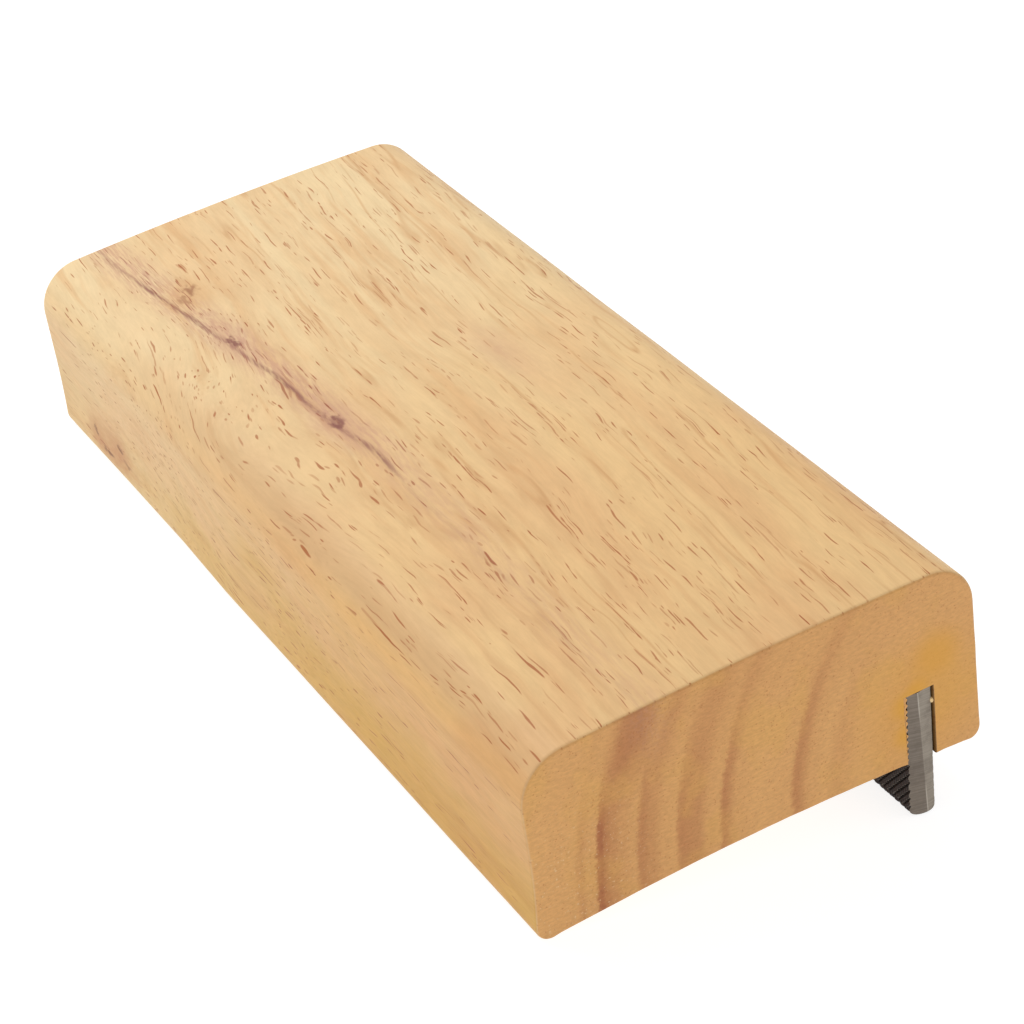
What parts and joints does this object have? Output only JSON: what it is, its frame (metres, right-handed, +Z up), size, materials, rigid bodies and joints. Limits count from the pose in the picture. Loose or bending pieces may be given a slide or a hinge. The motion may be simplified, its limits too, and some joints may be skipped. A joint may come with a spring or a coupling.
{
  "type": "wood block edge file",
  "caption": "Hand-held wooden block with rounded shoulders and a hollowed sole, with a steel file blade fixed in a lengthwise slot, square to the sole, for dressing edges.",
  "frame": {"origin": "middle of the tool's bounding box, on the bench it lies on: the tool leans on its left sole edge and on the blade's lower edge", "axes": "+Z up from the bench, +Y along the block from the near end to the far end, +X across the block towards the side with the blade; the block leans by 9.35 degrees about Y, blade side up"},
  "size_m": [0.0674, 0.15, 0.0361],
  "materials": {
    "block_wood": "satin, pale straw-coloured hardwood",
    "file_steel": "dark toothed faces, ground ends",
    "cured_glue": "hard amber glue"
  },
  "bodies": {
    "root": {"wood_block": "block_wood", "file_blade": "file_steel", "glue_bead": "cured_glue"}
  },
  "joints": []
}
